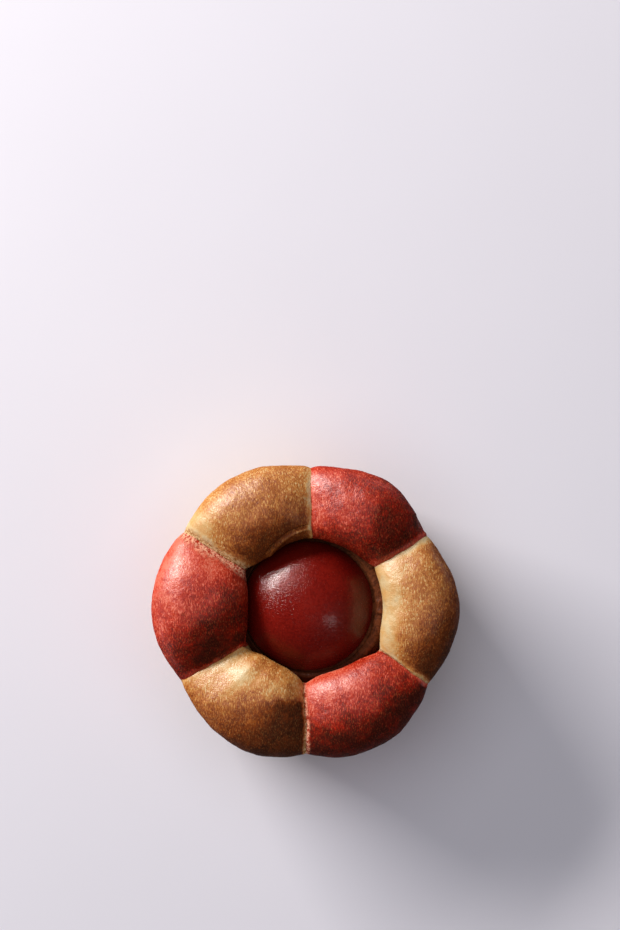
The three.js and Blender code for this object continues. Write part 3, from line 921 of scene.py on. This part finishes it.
def jelly_profile():
    """Radii and heights from the middle below, round the corner and over the dome."""
    rise = JELLY["top"] - JELLY["rim"]
    sphere = (JELLY["radius"] ** 2 + rise ** 2) / (2 * rise)
    rim_turn = math.asin(JELLY["radius"] / sphere)
    under_out, under_up = under_jelly(np.linspace(0, 1, JELLY_POINTS["under"]))
    turn = np.linspace(rim_turn, 0, JELLY_POINTS["over"])
    over_out, over_up = sphere * np.sin(turn), JELLY["top"] - sphere * (1 - np.cos(turn))
    edge = np.linspace(0, 1, JELLY_POINTS["corner"])[1:-1]
    corner_out = lerp(under_out[-1], over_out[0], np.sin(edge * np.pi / 2))
    corner_up = lerp(under_up[-1], over_up[0], 1 - np.cos(edge * np.pi / 2))
    return (
        np.concatenate([under_out, corner_out, over_out]),
        np.concatenate([under_up, corner_up, over_up]),
    )


radii, heights = jelly_profile()
ring, poles, faces = turned(radii, heights, JELLY_TURNS, JELLY_MIDDLE)
reach = np.hypot(*(ring[..., :2] - JELLY_MIDDLE[:2]).transpose(2, 0, 1))
on_top = smooth(ring[..., 2], JELLY["rim"], JELLY["rim"] + JELLY["above_rim"])
lumps = JELLY_LUMPS["high"] * roughly(ring, JELLY_LUMPS["size"], seed=21)
ripples = JELLY_RIPPLES["high"] * roughly(ring, JELLY_RIPPLES["size"], seed=22)
ring[..., 2] += on_top * (lumps + ripples)

jelly = Finish("jelly")
place = jelly.place()
cloud, pebble = jelly.noise(place, *CLOUDS), jelly.noise(place, *PEBBLES)
speck = jelly.noise(place, *SPECKS).between(*SPECKS_SHOW)
cells = {"Vector": place, "Scale": 1 / CELLS, "Randomness": 1.0}
from_bubble = jelly.node("TexVoronoi", {"feature": "F1"}, cells, "Distance")
bubble = 1 - from_bubble.between(*BUBBLES_SHOW)
height = pebble * SKIN["pebbles"] + speck * SKIN["specks"] - bubble * SKIN["bubbles"]
relief = {"Strength": 1.0, "Distance": SKIN["deep"] * MM, "Height": height}
skin = jelly.node("Bump", {}, relief)
redder = cloud * RED_BY["clouds"] + pebble * RED_BY["pebbles"] - RED_BY["less"]
clouded = jelly.mix(JELLY_DEEP, JELLY_RED, redder.between(*RED_SHOWS))
# The edge mask paints shade into the jelly's colour towards its rim.
jelly_finish = jelly.done(jelly.coat(
    Base_Color=jelly.mix(clouded, JELLY_RIM_SHADE, jelly.mask("edge")),
    Roughness=GLOSS["roughness"] + speck * GLOSS["specks"] + bubble * GLOSS["bubbles"],
    Specular_IOR_Level=GLOSS["shine"], Normal=skin,
))
# The edge mask holds the painted shade at the rim.
dome = piece(
    "dome_of_jelly", np.concatenate([ring.reshape(-1, 3), poles]), faces, jelly_finish,
    crease=JELLY_CREASE, edge=np.append(RIM_SHADE_SHARE * smooth(reach, *RIM_SHADE_OUT).ravel(), [0, 0]),
)
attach(dome, "root")
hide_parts("jelly_dome")


# ---- The table, the light and the camera ----------------------------------------------------
# A plain pale table. Soft daylight comes low from the upper left, a small card at the lower right
# shows only as a reflection, and ceiling and room fill the shadows. The camera looks straight down.

# Places and sizes are in metres here, and the mottle, the lens and its sensor in millimetres.
# Lights give their heading and how far above the table they stand, both in degrees.
TABLE = {"half": 1.5, "colour": (0.70, 0.675, 0.73), "darker": 0.97, "mottle": 60, "roughness": 0.7}
WINDOW = {
    "heading": 137, "above": 27.5, "away": 1.25, "wide": 0.70, "tall": 0.21, "power": 22,
    "colour": (1.0, 0.97, 0.94), "mirrored": True, "lighting": True,
}
CARD = {
    "heading": -36, "above": 51, "away": 0.8, "wide": 0.07, "tall": 0.11, "power": 0.36,
    "colour": (1.0, 0.97, 0.96), "mirrored": True, "lighting": False,
}
CEILING = {
    "heading": 139, "above": 80, "away": 2.4, "wide": 3.0, "tall": 3.0, "power": 39,
    "colour": (0.94, 0.95, 1.0), "mirrored": False, "lighting": True,
}
ROOM = {"colour": (0.80, 0.80, 0.88), "strength": 0.03}
CAMERA = {"right": 0.0015, "up": 0.0479, "height": 0.978, "lens": 111.7, "sensor": 36}

half = TABLE["half"]
corners = [(-half, -half, 0), (half, -half, 0), (half, half, 0), (-half, half, 0)]
board = bpy.data.meshes.new("table")
board.from_pydata(corners, [], [[0, 1, 2, 3]])
table_finish = Finish("table")
mottle = table_finish.noise(table_finish.place(), TABLE["mottle"], 2)
darker = tuple(TABLE["darker"] * channel for channel in TABLE["colour"])
board.materials.append(table_finish.done(table_finish.coat(
    Base_Color=table_finish.mix(TABLE["colour"], darker, mottle), Roughness=TABLE["roughness"],
)))
table = bpy.data.objects.new("table", board)
bpy.context.scene.collection.objects.link(table)


def soft_light(name, light):
    """A flat light that faces the bun, seen in reflections or lighting matt surfaces, or both."""
    lamp = bpy.data.lights.new(name, "AREA")
    lamp.shape, lamp.size, lamp.size_y = "RECTANGLE", light["wide"], light["tall"]
    lamp.energy, lamp.color = light["power"], light["colour"]
    heading, above = math.radians(light["heading"]), math.radians(light["above"])
    towards = Vector((
        math.cos(heading) * math.cos(above), math.sin(heading) * math.cos(above), math.sin(above),
    ))
    made = bpy.data.objects.new(name, lamp)
    made.location = towards * light["away"]
    made.rotation_mode = "QUATERNION"
    made.rotation_quaternion = towards.to_track_quat("Z", "Y")
    made.visible_glossy, made.visible_diffuse = light["mirrored"], light["lighting"]
    bpy.context.scene.collection.objects.link(made)


soft_light("window", WINDOW)
soft_light("card", CARD)
soft_light("ceiling", CEILING)
world = bpy.data.worlds.new("room")
world.use_nodes = True
world.node_tree.nodes["Background"].inputs[0].default_value = (*ROOM["colour"], 1)
world.node_tree.nodes["Background"].inputs[1].default_value = ROOM["strength"]
bpy.context.scene.world = world
bpy.context.scene.view_settings.view_transform = "Standard"

lens = bpy.data.cameras.new("camera")
lens.sensor_fit = "VERTICAL"
lens.sensor_height = lens.sensor_width = CAMERA["sensor"]
lens.lens = CAMERA["lens"]
camera = bpy.data.objects.new("camera", lens)
camera.location = BUN_MIDDLE * MM + np.array([CAMERA["right"], CAMERA["up"], CAMERA["height"]])
bpy.context.scene.collection.objects.link(camera)
bpy.context.scene.camera = camera
